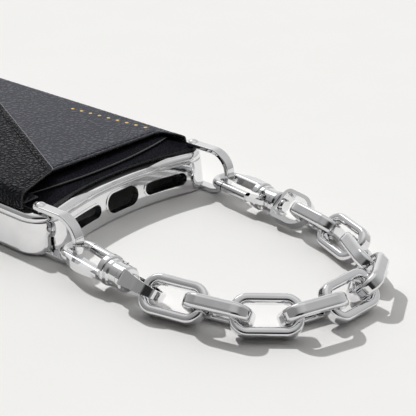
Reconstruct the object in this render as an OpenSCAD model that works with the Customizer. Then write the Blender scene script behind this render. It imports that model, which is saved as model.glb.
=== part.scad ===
// Chain wallet: a phone case with a leather card pocket on its back and a
// short chain strap on two swivel hooks. Millimetres, +Z up. The wallet lies
// on its screen side: the back with the pocket looks up and the strap lies
// in front of the port end. x = 0 is the middle of the case, y = 0 is level
// with the port end's two corners and z = 0 is the surface it lies on.

/* [Phone] */
// Length of the phone that the case is cut for
phone_l = 146.7; // [130:0.1:165]
// Width of the phone
phone_w = 71.5; // [64:0.1:78]
// Thickness of the phone
phone_t = 7.8; // [7:0.1:9]
// Corner radius of the phone
phone_r = 11; // [9:0.5:13]
// Play round the phone
phone_play = 0.3; // [0.2:0.05:0.6]

/* [Case] */
// Side and top wall of the bumper
wall = 2.4; // [1.8:0.1:3.5]
// Wall between the phone and the middle of the port end
port_wall = 2.1; // [1.6:0.1:3]
// Radius of the hollow curve of the port end, seen from above
port_curve_r = 95; // [80:1:160]
// Radius of the two corners that hold the brackets
corner_r = 9; // [7:0.5:10]
// Lean of the outer wall between its foot and the groove
wall_lean = 1; // [0.4:0.1:1.5]
// Height of the groove under the rail
groove_z = 10; // [9.6:0.1:10.4]
// Height of the groove's slit
groove_h = 0.25; // [0.15:0.05:0.4]
// Radius of the rounded rail round the back
rail_r = 1.75; // [1.2:0.05:2]
// Width of the rail and its shoulder, seen from above
rail_w = 4.2; // [3.8:0.1:5]
// Corner radius of the leather inside the rail, at the port end
panel_corner_r = 2; // [1.5:0.1:3]
// Thickness of the lip in front of the screen
lip_t = 1.2; // [0.8:0.1:1.6]
// How far the lip reaches over the screen
lip_w = 1.6; // [1:0.1:2.2]
// Thickness of the soft lining
lining_t = 0.5; // [0.3:0.1:0.8]
// Thickness of the back plate
plate_t = 2.4; // [1.5:0.1:3]
// Play between pieces that lie on each other
seat_play = 0.05; // [0.02:0.01:0.1]

/* [Port end openings] */
// Width of the charging opening
port_w = 13.4; // [12:0.1:15]
// Height of the charging opening
port_h = 6.4; // [5:0.1:7]
// Width of each speaker opening
speaker_w = 16; // [10:0.5:17]
// Height of each speaker opening
speaker_h = 4.1; // [3:0.1:5]
// Middle of each speaker opening from the middle of the case
speaker_x = 17.75; // [16:0.25:18.5]
// Width of the raised rim round each opening
rim_w = 0.55; // [0.3:0.05:0.8]
// How far the rim stands out of the wall
rim_out = 0.22; // [0.1:0.02:0.4]

/* [Buttons and camera] */
// Length of the power key
power_l = 11; // [9:0.5:13]
// Length of each volume key
volume_l = 9; // [7:0.5:10]
// Height of the keys
key_h = 2.8; // [2:0.1:3.4]
// How far the keys stand out
key_out = 0.6; // [0.4:0.05:1]
// Travel of the keys
key_travel = 0.35; // [0.2:0.05:0.45]
// Play round the keys
key_play = 0.15; // [0.1:0.05:0.25]
// Thickness of the flange that keeps a key in its wall
key_flange_t = 0.5; // [0.4:0.05:0.6]
// Power key from the phone's port end
power_y = 100; // [90:1:110]
// Volume down key from the phone's port end
volume_down_y = 93; // [85:1:98]
// Volume up key from the phone's port end
volume_up_y = 107; // [103:1:115]
// Length of the slot for the mute switch
mute_l = 7; // [5:0.5:9]
// Mute switch from the phone's port end
mute_y = 121; // [117:1:126]
// Side of the camera opening
camera_w = 35; // [28:0.5:35.5]
// Corner radius of the camera opening
camera_r = 9; // [6:0.5:12]
// Camera opening from the phone's side and its top end
camera_edge = 3.5; // [3:0.5:5]

/* [Leather] */
// Thickness of the leather back
back_leather_t = 1.4; // [1:0.1:2]
// Thickness of the pocket's inner panel
inner_t = 0.7; // [0.5:0.05:1]
// Thickness of the pocket's front
front_t = 1.1; // [0.8:0.05:1.4]
// Thickness of the flap
flap_t = 1; // [0.8:0.05:1.3]
// Lower edge of the inner panel in the middle
inner_y = 11.6; // [10:0.2:13]
// Radius of the inner panel's bowed lower edge
inner_curve_r = 150; // [120:5:200]
// Lower edge of the pocket's front
front_y = 18.2; // [17:0.2:20]
// Length of the pocket's front
pocket_l = 94; // [91:0.5:95]
// Outer face of the pocket's sewn edge to the case's side
pocket_inset = 3.35; // [2.95:0.1:5.45]
// Room for the cards at the sewn side
card_room = 0.3; // [0.2:0.1:0.8]
// Room for the cards at the flap's side
card_room_mouth = 1.5; // [1.2:0.1:2]
// Play between the flap and the pocket's front
flap_play = 0.25; // [0.15:0.05:0.4]
// Flap's foot from the edge of the case
flap_inset = 2.2; // [2:0.1:3]
// Angle of the flap's long slanted edge
flap_angle = 63.2; // [60:0.2:66]
// Corner of the flap on the pocket's front
flap_corner_x = -17; // [-20:0.5:-14]
// Same corner from y = 0
flap_corner_y = 16.3; // [15:0.1:18]
// Lower end of the flap at the side of the case
flap_side_y = 8.4; // [8:0.2:10]
// Tip of the flap from the middle of the case
flap_tip_x = 22; // [16:0.5:26]
// Radius of the flap's tip
flap_tip_r = 7; // [4:0.5:9]
// Radius of each magnet in the closure
magnet_r = 4.5; // [3:0.5:5]
// Thickness of each magnet
magnet_t = 0.55; // [0.4:0.05:0.6]

/* [Brackets] */
// Middle of a bracket to the case's side
bracket_inset = 5.2; // [4.6:0.1:6.4]
// Width of the bracket's strip
strip_w = 3.5; // [3:0.1:4.2]
// Thickness of the bracket's strip
strip_t = 1.5; // [1.2:0.1:1.8]
// Middle of the bracket's bend in front of y = 0
bend_y = 3.65; // [3.4:0.05:5]
// Rivet behind y = 0
rivet_y = 4.8; // [4.4:0.1:5.2]
// Radius of the rivet's shank
rivet_r = 1.1; // [0.8:0.05:1.2]
// Radius of the rivet's domed head
rivet_head_r = 1.7; // [1.4:0.05:1.75]
// Height of the rivet's domed head
rivet_head_h = 0.75; // [0.5:0.05:1]
// End of the bracket's legs behind the rivet
leg_end = 2.6; // [2:0.1:3]

/* [Hooks] */
// Half the inner width of the hook's eye
eye_r = 2.7; // [2.5:0.05:3]
// Radius of the hook's bar and of the gate
bar_r = 1.5; // [1.3:0.05:1.7]
// Collar's middle to the bracket's strip
hook_reach = 15.5; // [14:0.25:18]
// Radius of the collar
collar_r = 4.4; // [4:0.1:4.7]
// Length of the collar
collar_l = 2.6; // [2:0.1:3.2]
// Radius of the barrel
barrel_r = 3.7; // [3.4:0.1:4]
// Collar's middle to the barrel's end
barrel_l = 8.2; // [7.8:0.1:9]
// Radius of the swivel pin
swivel_r = 1.25; // [1:0.05:1.5]
// Radius of the swivel pin's head
swivel_head_r = 2.2; // [2:0.05:2.4]
// Length of the swivel pin's head
swivel_head_l = 1; // [0.8:0.1:1.2]
// Running play of the pins
pin_play = 0.08; // [0.05:0.01:0.1]
// Radius of the gate's pin
gate_pin_r = 0.7; // [0.5:0.05:0.8]
// Gap between the gate's tip and the hook's nose
gate_gap = 0.25; // [0.15:0.05:0.4]
// Wire radius of the gate's spring
spring_wire_r = 0.2; // [0.15:0.05:0.25]

/* [Rings] */
// Thickness of the ring's strip
ring_t = 1.2; // [1:0.1:1.4]
// Half the inner width of the ring
ring_r = 4.1; // [3.9:0.05:4.2]
// Width of the ring's strip at its foot
ring_foot_w = 4.4; // [4:0.1:4.4]
// Width of the ring's strip at its far end
ring_end_w = 2.2; // [2:0.1:2.8]
// Barrel's end to the middle of the joint with the chain
ring_reach = 9.9; // [9:0.1:10.5]
// Play of the first link in the ring
ring_play = 2.8; // [2.6:0.1:3.4]
// Roll of the ring about the hook
ring_roll = 38; // [34:1:39]

/* [Chain] */
// Length of a link
link_l = 19.2; // [18.8:0.1:19.6]
// Width of a link
link_w = 11.6; // [11.2:0.1:12.2]
// Wire's thickness in the plane of a link
wire = 2.7; // [2.5:0.05:2.9]
// Wire's height across the plane of a link
wire_h = 4; // [3.6:0.05:4.2]
// Rounding of the wire's edges
wire_edge = 1.15; // [0.9:0.05:1.2]
// Outer corner radius of a link
link_corner = 4.8; // [4.4:0.1:5.2]
// Play between two links in line
link_play = 1; // [0.8:0.05:1.2]
// Roll of the links, alternately to either side
link_roll = 45; // [43:1:47]
// Sideways lean of the strap as it lies
sway = 8.5; // [4:0.5:10]

/* [Hidden] */
$fn = 64;
eps = 0.01;
far = 400;

// --- levels and places of the case
bay_w = phone_w + 2 * phone_play;
bay_l = phone_l + 2 * phone_play;
bay_r = phone_r + phone_play;
case_w = bay_w + 2 * wall;
bracket_x = case_w / 2 - bracket_inset;
pocket_x = case_w / 2 - pocket_inset;
corner_x = case_w / 2 - corner_r;
curve_y = corner_r - sqrt(pow(port_curve_r + corner_r, 2) - pow(corner_x, 2));
curve_half = asin(corner_x / (port_curve_r + corner_r));
port_face_y = curve_y + port_curve_r;
bay_y = port_face_y + port_wall;
top_r = bay_r + wall;
top_corner_y = bay_y + bay_l - bay_r;
case_end_y = bay_y + bay_l + wall;
lining_z = lip_t + phone_t + 2 * seat_play;
plate_z = lining_z + lining_t;
leather_z = plate_z + plate_t;
inner_z = leather_z + back_leather_t;
rail_top = leather_z + 0.6;
rail_slope = 8;
seam_proud = 0.02;
seam_turn = 0.1;
foot_r = 0.9;
groove_depth = 0.4;
profile_depth = rail_w + 0.6;
port_z = lip_t + seat_play + phone_t / 2 + 0.45;
through = 20;

// --- keys and camera
key_z = lip_t + seat_play + phone_t / 2;
key_lean = wall_lean * (key_z - foot_r) / (groove_z - foot_r);
phone_y = bay_y + phone_play;
camera_x = phone_w / 2 - camera_edge - camera_w / 2;
camera_y = phone_y + phone_l - camera_edge - camera_w / 2;
camera_rim_w = 1.2;
camera_rim_h = 0.5;

// --- brackets
loop_h = inner_z + seat_play + strip_t;
bend_r = loop_h / 2;

// --- pocket, in the plane across the case: z of the middle of each layer
inner_top = inner_z + seat_play + inner_t;
shoulder_r = 1;
sewn_x = pocket_x - front_t / 2 - shoulder_r;
foot_low_z = leather_z + 0.7;
mouth_x = -22;
sewn_z = inner_top + card_room + front_t / 2;
mouth_z = inner_top + card_room_mouth + front_t / 2;
front_slope = (mouth_z - sewn_z) / (sewn_x - mouth_x);
function front_z(x) = sewn_z + (sewn_x - x) * front_slope;
function flap_z(x) = front_z(x) + (front_t + flap_t) / 2 + flap_play;
front_end_y = front_y + pocket_l;
inner_x = pocket_x - 1.8;
anchor_w = 5.6;
inner_left_x = -(case_w / 2 - rail_w - seat_play) + anchor_w;
anchor_t = 0.9;
flap_x = -(case_w / 2 - flap_inset);
flap_bend_r = 2.2;
flap_foot_z = rail_top + flap_t / 2 + 0.05;
flap_tip_y = flap_corner_y + (flap_tip_x - flap_corner_x) * tan(flap_angle);
flap_end_y = front_end_y - 2;
magnet_x = flap_tip_x - 9;
magnet_y = flap_tip_y - 5;
gusset_t = 0.8;
gusset_back = 1.6;
flank_w = 2.4;
flank_y = 9.2;
flap_corner_r = 1.5;

// --- strap: its height where it lies, and the places along it
floor_gap = 0.1;
strap_z = (link_w / 2 - wire_edge) * sin(link_roll) + (wire_h / 2 - wire_edge) * cos(link_roll)
    + wire_edge + floor_gap;
strip_y = -bend_y - sqrt(pow(bend_r - strip_t / 2, 2) - pow(bend_r - strap_z, 2));
pitch = link_l - 2 * wire - link_play;
BASE_HEADINGS = [-77, -75, -50, -20, -4, 26, 54, 67, 77];
function sum_of(list, last) = last < 0 ? 0 : list[last] + sum_of(list, last - 1);
function course(k) = pitch * [
    sum_of([for (h = BASE_HEADINGS) cos(k * h)], len(BASE_HEADINGS) - 1),
    sum_of([for (h = BASE_HEADINGS) sin(k * h)], len(BASE_HEADINGS) - 1)];
function spread_between(low, high, turns) = turns == 0 ? (low + high) / 2
    : norm(course((low + high) / 2)) > 2 * bracket_x
        ? spread_between((low + high) / 2, high, turns - 1)
        : spread_between(low, (low + high) / 2, turns - 1);
spread = spread_between(0.4, 1.5, 40);
course_turn = atan2(course(spread)[1], course(spread)[0]);
function heading(i) = spread * BASE_HEADINGS[i - 1] - course_turn;
clasp_l = hook_reach + barrel_l + ring_reach;
chain_start = [-bracket_x - clasp_l * sin(sway), strip_y - clasp_l * cos(sway)];
function joint_at(i) = i == 0 ? chain_start
    : joint_at(i - 1) + pitch * [cos(heading(i)), sin(heading(i))];

// --- hook, in its own frame: origin in the collar, +X to the nose, +Y to the gate
arm_y = eye_r + bar_r;
nose_x = hook_reach - 1;
seam_x = nose_x - 1.4;
gate_y = arm_y - 0.1;
gate_root_x = collar_l / 2 + 0.9;
gate_pin_x = -3;
gate_pin_y = 2.5;
tail_t = 1.6;
tail_r = 1.5;
spring_r = gate_pin_r + 0.15 + spring_wire_r;
spring_turns = 2.5;
slot_low_z = tail_t / 2 + pin_play;
spring_z = tail_t / 2 + 0.1 + spring_wire_r;
slot_high_z = spring_z + 2 * spring_wire_r * spring_turns + 0.35;
slot_floor_y = 0.05;
slot_end_x = gate_pin_x - tail_r - 0.4;
swivel_seat_x = -(barrel_l - 2.9);
ring_gap = 0.15;
ring_base_x = -(barrel_l + ring_gap);
ring_end_x = -(barrel_l + ring_reach + ring_play / 2);

// --- colours
silver = [0.78, 0.78, 0.8];
leather = [0.13, 0.13, 0.15];
dark = [0.06, 0.06, 0.07];

// ===== Shapes shared by the pieces =====

// Rectangle about the origin with true round corners
module round_square(w, h, r) {
    square([w - 2 * r, h], center = true);
    square([w, h - 2 * r], center = true);
    for (sx = [-1, 1], sy = [-1, 1])
        translate([sx * (w / 2 - r), sy * (h / 2 - r)]) circle(r);
}

// Convex outline with one round corner of its own radius at each point
function unit(v) = v / norm(v);
module round_outline(points, radii) {
    count = len(points);
    into = [for (i = [0:count - 1]) unit(points[(i + count - 1) % count] - points[i])];
    out = [for (i = [0:count - 1]) unit(points[(i + 1) % count] - points[i])];
    half = [for (i = [0:count - 1]) acos(into[i] * out[i]) / 2];
    polygon([for (i = [0:count - 1], side = [0, 1])
        points[i] + (side == 0 ? into[i] : out[i]) * radii[i] / tan(half[i])]);
    for (i = [0:count - 1])
        if (radii[i] > 0)
            translate(points[i] + unit(into[i] + out[i]) * radii[i] / sin(half[i]))
                circle(radii[i]);
}

// The case seen from above, drawn in by d, with corners of radius r at the port end
module outline(d = 0, r = -1) {
    side = case_w / 2 - d;
    rc = r < 0 ? corner_r - d : r;
    rt = top_r - d;
    cx = side - rc;
    cy = curve_y + sqrt(pow(port_curve_r + d + rc, 2) - pow(cx, 2));
    tx = cx * (port_curve_r + d) / (port_curve_r + d + rc);
    for (s = [-1, 1]) {
        translate([s * cx, cy]) circle(rc);
        translate([s * (side - rt), top_corner_y]) circle(rt);
    }
    translate([-side, cy]) square([2 * side, top_corner_y - cy]);
    translate([rt - side, top_corner_y - 1]) square([2 * (side - rt), rt + 1]);
    difference() {
        translate([-tx, 0]) square([2 * tx, cy + 1]);
        translate([0, curve_y]) circle(port_curve_r + d, $fn = 720);
    }
}

// The phone's room seen from above, drawn in by d
module bay(d = 0) {
    translate([0, bay_y + bay_l / 2]) round_square(bay_w - 2 * d, bay_l - 2 * d, bay_r - d);
}

// Camera opening seen from above, drawn out by d
module camera_shape(d = 0) {
    translate([-camera_x, camera_y])
        round_square(camera_w + 2 * d, camera_w + 2 * d, camera_r + d);
}

// Bar with round ends along X
module stadium(w, h) {
    square([w - h, h], center = true);
    for (s = [-1, 1]) translate([s * (w - h) / 2, 0]) circle(h / 2);
}

// Lays a shape drawn across the case (x, z) out along Y, from y0 to y1
module along_y(y0, y1) {
    translate([0, y1, 0]) rotate([90, 0, 0]) linear_extrude(y1 - y0) children();
}

// Turns a shape whose axis is Z so that the axis runs along X
module along_x() {
    rotate([0, 90, 0]) children();
}

// ===== Case =====

// Section of the bumper: x goes inward from its outer face, y is the height. A proud
// section is a hair larger, so that it covers the end of the run that it joins
module wall_section(proud = 0) {
    lean = atan(wall_lean / (groove_z - foot_r));
    foot = [foot_r / cos(lean), foot_r];
    foot_end = foot + (foot_r + proud) * [-cos(lean), sin(lean)];
    rail = [wall_lean + 0.1 + rail_r, rail_top - rail_r];
    rail_end = rail + (rail_r + proud) * [sin(rail_slope), cos(rail_slope)];
    groove_low = groove_z - groove_h / 2 + proud;
    groove_high = groove_z + groove_h / 2 - proud;
    groove_x = wall_lean + groove_depth - proud;
    lean_end_x = foot_end[0] + (groove_low - foot_end[1]) * tan(lean);
    back = profile_depth + proud;
    intersection() {
        translate(foot) circle(foot_r + proud);
        square(far);
    }
    polygon([[foot[0], 0], foot, foot_end, [lean_end_x, groove_low], [groove_x, groove_low],
        [groove_x, groove_high], [rail[0], groove_high], rail, rail_end,
        [back, rail_end[1] - (back - rail_end[0]) * tan(rail_slope)], [back, 0]]);
    intersection() {
        translate(rail) circle(rail_r + proud);
        translate([0, groove_high]) square([rail[0] + 1, 2 * rail_r]);
    }
}

// Section swept round a corner of radius r, from angle a through the angle turn
module corner_sweep(x, y, r, a, turn) {
    translate([x, y, 0]) rotate([0, 0, a]) rotate_extrude(angle = turn, $fn = 96)
        translate([r, 0]) mirror([1, 0]) wall_section();
}

// The hollow curve of the port end, swept a hair past both corners' ends
module port_sweep(r, seam = 0) {
    translate([0, curve_y, 0]) rotate([0, 0, 90 - curve_half - seam])
        rotate_extrude(angle = 2 * (curve_half + seam), $fn = 360)
            translate([r, 0]) children();
}

module bumper_wall() {
    for (s = [0, 1]) mirror([s, 0, 0]) {
        translate([-case_w / 2, 0, 0]) along_y(corner_r, top_corner_y) wall_section();
        corner_sweep(-corner_x, corner_r, corner_r, 180, 90 + curve_half);
        corner_sweep(top_r - case_w / 2, top_corner_y, top_r, 90, 90);
    }
    translate([top_r - case_w / 2, case_end_y, 0]) mirror([0, 1, 0]) rotate([90, 0, 90])
        linear_extrude(case_w - 2 * top_r) wall_section();
    port_sweep(port_curve_r, seam_turn) wall_section(seam_proud);
    linear_extrude(leather_z) outline(profile_depth - 1);
}

// Raised rims round the port end's openings, as thick as the wall's face plus rim_out
module port_rims() {
    intersection() {
        port_sweep(port_curve_r)
            polygon([[-rim_out, foot_r], [wall_lean - rim_out, groove_z],
                [wall_lean + 0.4, groove_z], [0.4, foot_r]]);
        port_openings(rim_w);
    }
}

module port_openings(d = 0) {
    translate([0, 0, port_z]) along_y(-through, bay_y + 1) {
        stadium(port_w + 2 * d, port_h + 2 * d);
        for (s = [-1, 1]) translate([s * speaker_x, 0])
            stadium(speaker_w + 2 * d, speaker_h + 2 * d);
    }
}

// Slot for a key in the left wall, with the recess for its flange
module key_slot(length) {
    translate([-case_w / 2 - 1, 0, key_z]) rotate([0, 90, 0])
        linear_extrude(wall + 2)
            rotate([0, 0, 90]) stadium(length + 2 * key_play, key_h + 2 * key_play);
    translate([-bay_w / 2 - key_flange_t - key_travel, 0, key_z]) rotate([0, 90, 0])
        linear_extrude(key_flange_t + key_travel + 1)
            rotate([0, 0, 90]) stadium(length + 1.2 + 2 * key_play, key_h + 1.2 + 2 * key_play);
}

// The bumper with its rims and its rooms for the phone, the plate and the leather
module bumper_shell() {
    difference() {
        bumper_wall();
        translate([0, 0, leather_z]) linear_extrude(through) outline(rail_w, panel_corner_r);
        translate([0, 0, lip_t]) linear_extrude(leather_z - lip_t) bay();
        translate([0, 0, -1]) linear_extrude(lip_t + 2) bay(lip_w);
    }
    port_rims();
}

module bumper_frame() {
    color(silver) difference() {
        bumper_shell();
        port_openings();
        translate([0, phone_y + power_y, 0]) key_slot(power_l);
        mirror([1, 0, 0]) {
            translate([0, phone_y + volume_up_y, 0]) key_slot(volume_l);
            translate([0, phone_y + volume_down_y, 0]) key_slot(volume_l);
            translate([-case_w / 2 - 1, phone_y + mute_y, key_z]) rotate([0, 90, 0])
                linear_extrude(wall + 2) rotate([0, 0, 90]) stadium(mute_l, key_h);
        }
        for (s = [-1, 1]) translate([s * bracket_x, 0, 0]) {
            bracket_leg(-1, strip_t + seat_play, strip_w / 2 + seat_play);
            translate([0, rivet_y, 0]) cylinder(r = rivet_r + seat_play, h = through);
        }
    }
}

module inner_lining() {
    color([0.2, 0.2, 0.22]) translate([0, 0, lining_z]) linear_extrude(lining_t) difference() {
        bay(seat_play);
        camera_shape();
    }
}

module back_plate() {
    color(dark) {
        translate([0, 0, plate_z]) linear_extrude(plate_t) difference() {
            bay(seat_play);
            camera_shape();
        }
        translate([0, 0, plate_z]) linear_extrude(inner_z + camera_rim_h - plate_z) difference() {
            camera_shape(camera_rim_w);
            camera_shape();
        }
    }
}

module leather_back() {
    color(leather) translate([0, 0, leather_z]) linear_extrude(back_leather_t) difference() {
        outline(rail_w + seat_play, panel_corner_r - seat_play);
        camera_shape(camera_rim_w + seat_play);
        for (s = [-1, 1]) translate([s * bracket_x, rivet_y]) circle(rivet_r + seat_play);
    }
}

// A key in the left wall: its stem stands out, its flange keeps it in
module key_body(length) {
    outer_x = -case_w / 2 + key_lean - key_out;
    flange_x = -bay_w / 2 - key_flange_t - key_travel;
    color(silver) {
        translate([outer_x, 0, key_z]) rotate([0, 90, 0])
            linear_extrude(flange_x - outer_x + key_flange_t / 2)
                rotate([0, 0, 90]) stadium(length, key_h);
        translate([flange_x, 0, key_z]) rotate([0, 90, 0]) linear_extrude(key_flange_t)
            rotate([0, 0, 90]) stadium(length + 1.2, key_h + 1.2);
    }
}

module power_key() {
    translate([0, phone_y + power_y, 0]) key_body(power_l);
}

module volume_up_key() {
    mirror([1, 0, 0]) translate([0, phone_y + volume_up_y, 0]) key_body(volume_l);
}

module volume_down_key() {
    mirror([1, 0, 0]) translate([0, phone_y + volume_down_y, 0]) key_body(volume_l);
}

// ===== Pocket =====

module pocket_inner() {
    color(leather) translate([0, 0, inner_z + seat_play]) linear_extrude(inner_t) intersection() {
        translate([inner_left_x, 0]) square([inner_x - inner_left_x, front_end_y + 0.6]);
        translate([0, inner_y + inner_curve_r]) circle(inner_curve_r, $fn = 720);
    }
}

// Section of the pocket's front: the sheet, its shoulder and its sewn foot
module front_section() {
    foot_x = sewn_x + shoulder_r;
    leather_side = case_w / 2 - rail_w - seat_play;
    polygon([[mouth_x, front_z(mouth_x) - front_t / 2], [sewn_x, sewn_z - front_t / 2],
        [sewn_x, sewn_z + front_t / 2], [mouth_x, front_z(mouth_x) + front_t / 2]]);
    intersection() {
        translate([sewn_x, sewn_z - shoulder_r]) difference() {
            circle(shoulder_r + front_t / 2);
            circle(shoulder_r - front_t / 2);
        }
        translate([sewn_x, sewn_z - shoulder_r]) square(far);
    }
    translate([foot_x - front_t / 2, inner_z + seat_play])
        square([front_t, sewn_z - shoulder_r - inner_z - seat_play]);
    translate([leather_side + 0.1, foot_low_z])
        square([foot_x + front_t / 2 - leather_side - 0.1, inner_z - foot_low_z + 1]);
}

module pocket_front() {
    color(leather) difference() {
        intersection() {
            along_y(0, far) front_section();
            translate([0, 0, leather_z]) linear_extrude(through) {
                translate([mouth_x - 1, front_y]) square([pocket_x - mouth_x + 2, pocket_l]);
                translate([pocket_x + 1 - flank_w - 1, flank_y]) square([flank_w + 1, front_y]);
            }
        }
        on_front(-front_t / 2 - 1) cylinder(r = magnet_r + seat_play, h = magnet_t + 1);
    }
}

// Places a shape square to the pocket's front at the closure, offset along its normal
module on_front(offset) {
    translate([magnet_x, magnet_y, front_z(magnet_x)]) rotate([0, atan(front_slope), 0])
        translate([0, 0, offset]) children();
}

module pocket_magnet() {
    color(silver) on_front(-front_t / 2) cylinder(r = magnet_r, h = magnet_t - seat_play);
}

// U-shaped spacer that closes the pocket's two ends and its sewn side
module pocket_gusset() {
    edge_x = inner_x - 0.2;
    color(dark) intersection() {
        along_y(0, far) polygon([[mouth_x, inner_top], [edge_x, inner_top],
            [edge_x, front_z(edge_x) - front_t / 2], [mouth_x, front_z(mouth_x) - front_t / 2]]);
        linear_extrude(through + inner_z) difference() {
            translate([mouth_x, front_y + gusset_back])
                square([edge_x - mouth_x, pocket_l - gusset_back - 0.4]);
            translate([mouth_x - 1, front_y + gusset_back + gusset_t])
                square([edge_x - mouth_x + 1 - gusset_t, pocket_l - gusset_back - 0.4 - 2 * gusset_t]);
        }
    }
}

module flap_anchor() {
    color(leather) translate([0, 0, inner_z + seat_play]) linear_extrude(anchor_t)
        translate([flap_x + flap_t / 2 + 0.2, flap_side_y + 2])
            square([inner_left_x - seat_play - flap_x - flap_t / 2 - 0.2,
                flap_end_y - flap_side_y - 3]);
}

// Section of the flap: the sheet, its bend and its foot on the hinge line
module flap_section() {
    bend_x = flap_x + flap_bend_r;
    bend_z = flap_z(bend_x) - flap_bend_r;
    polygon([[bend_x, flap_z(bend_x) - flap_t / 2], [far, flap_z(far) - flap_t / 2],
        [far, flap_z(far) + flap_t / 2], [bend_x, flap_z(bend_x) + flap_t / 2]]);
    intersection() {
        translate([bend_x, bend_z]) difference() {
            circle(flap_bend_r + flap_t / 2);
            circle(flap_bend_r - flap_t / 2);
        }
        translate([bend_x - far, bend_z]) square(far);
    }
    translate([flap_x - flap_t / 2, flap_foot_z]) square([flap_t, bend_z - flap_foot_z]);
    translate([flap_x, flap_foot_z]) circle(flap_t / 2);
}

module pocket_flap() {
    left = flap_x - flap_t / 2 - 1;
    color(leather) difference() {
        intersection() {
            along_y(0, far) flap_section();
            linear_extrude(far) round_outline(
                [[left, flap_side_y], [flap_corner_x, flap_corner_y],
                    [flap_tip_x, flap_tip_y], [left, flap_end_y]],
                [0, flap_corner_r, flap_tip_r, 0]);
        }
        on_flap(-flap_t / 2 - 1) cylinder(r = magnet_r + seat_play, h = magnet_t + 1);
    }
}

module on_flap(offset) {
    on_front(offset + (front_t + flap_t) / 2 + flap_play) children();
}

module flap_magnet() {
    color(silver) on_flap(-flap_t / 2) cylinder(r = magnet_r, h = magnet_t - seat_play);
}

// ===== Brackets =====

module strip_section(half = false) {
    intersection() {
        round_square(strip_w, strip_t, 0.35);
        if (half) translate([0, -far / 2]) square(far);
        else square(far, center = true);
    }
}

// Room for a leg of the bracket with its round end, from z0 to z1
module bracket_leg(z0, z1, half_w) {
    end_y = rivet_y + leg_end - strip_w / 2;
    translate([-half_w, -through, z0]) cube([2 * half_w, through + end_y, z1 - z0]);
    translate([0, end_y, z0]) cylinder(r = half_w, h = z1 - z0);
}

module bracket(side) {
    end_y = rivet_y + leg_end - strip_w / 2;
    color(silver) translate([side * bracket_x, 0, 0]) difference() {
        union() {
            translate([0, -bend_y, bend_r]) rotate([0, 0, 90]) rotate([90, 0, 0])
                rotate([0, 0, 90]) rotate_extrude(angle = 180, $fn = 96)
                    translate([bend_r - strip_t / 2, 0]) rotate([0, 0, 90]) strip_section();
            for (z = [strip_t / 2, loop_h - strip_t / 2]) translate([0, 0, z]) {
                along_y(-bend_y, end_y) strip_section();
                translate([0, end_y, 0]) rotate_extrude($fn = 96) strip_section(true);
            }
        }
        translate([0, rivet_y, 0]) rivet_shape(seat_play);
    }
}

// The rivet about its axis: a countersunk foot, the shank and a domed head, with play round it
module rivet_shape(play = 0) {
    head_ball_r = (pow(rivet_head_r, 2) + pow(rivet_head_h, 2)) / (2 * rivet_head_h);
    foot_z = 0.15;
    rotate_extrude($fn = 64) {
        translate([0, foot_z]) square([rivet_r + play, loop_h - foot_z]);
        polygon([[0, foot_z - play], [rivet_r + 0.6 + play, foot_z - play],
            [rivet_r + play, foot_z + 0.6], [0, foot_z + 0.6]]);
        if (play == 0) intersection() {
            translate([0, loop_h + rivet_head_h - head_ball_r]) circle(head_ball_r, $fn = 128);
            translate([0, loop_h]) square([rivet_head_r, rivet_head_h]);
        }
    }
}

module rivet(side) {
    color(silver) translate([side * bracket_x, rivet_y, 0]) rivet_shape();
}

// ===== Clasps =====

// Places a shape from the hook's own frame: side is -1 on the left and 1 on the right
module clasp(side) {
    translate([side * bracket_x - hook_reach * sin(sway), strip_y - hook_reach * cos(sway), strap_z])
        rotate([0, 0, 90 - sway])
            if (side < 0) mirror([0, 1, 0]) children();
            else children();
}

// Straight round bar along X, from x0 to x1 at y
module bar(x0, x1, y, r) {
    translate([x0, y, 0]) rotate([0, 90, 0]) cylinder(r = r, h = x1 - x0, $fn = 48);
}

// The arm's outer side swells into a crescent
module arm_swell() {
    swell_r = 16;
    swell_t = 2.6;
    intersection() {
        translate([nose_x / 2 + 0.4, -arm_y - bar_r - 0.9 + swell_r, -swell_t / 2])
            cylinder(r = swell_r, h = swell_t, $fn = 180);
        translate([0, -arm_y - far, -far / 2]) cube([nose_x + 1.5, far + bar_r, far]);
    }
}

module hook(side) {
    color(silver) clasp(side) difference() {
        union() {
            bar(-0.5, nose_x, -arm_y, bar_r);
            arm_swell();
            translate([nose_x, 0, 0]) rotate([0, 0, -90]) rotate_extrude(angle = 180, $fn = 96)
                translate([arm_y, 0]) circle(bar_r, $fn = 48);
            bar(seam_x, nose_x, arm_y, bar_r);
            rotate([0, -90, 0]) rotate_extrude($fn = 96) barrel_section();
        }
        // slot for the gate's tail and its spring
        translate([slot_end_x, slot_floor_y, -slot_low_z])
            cube([-slot_end_x + collar_l, through, slot_low_z + slot_high_z]);
        translate([gate_pin_x, gate_pin_y, -through / 2])
            cylinder(r = gate_pin_r + seat_play, h = through, $fn = 48);
        bar(-barrel_l - 1, swivel_seat_x, 0, swivel_r + seat_play);
    }
}

// Collar and barrel as a turned section: x is the radius, y runs back along the barrel
module barrel_section() {
    edge = 0.7;
    translate([0, -collar_l / 2]) {
        square([collar_r - edge, collar_l]);
        translate([0, edge]) square([collar_r, collar_l - 2 * edge]);
        for (y = [edge, collar_l - edge]) translate([collar_r - edge, y]) circle(edge, $fn = 32);
    }
    polygon([[0, 0], [barrel_r + 0.2, 0], [barrel_r + 0.2, collar_l / 2 + 1.2],
        [barrel_r - 0.2, collar_l / 2 + 1.8], [barrel_r - 0.2, barrel_l - 2.2],
        [barrel_r, barrel_l - 1.8], [barrel_r, barrel_l - 0.5], [barrel_r - 0.5, barrel_l],
        [0, barrel_l]]);
}

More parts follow.
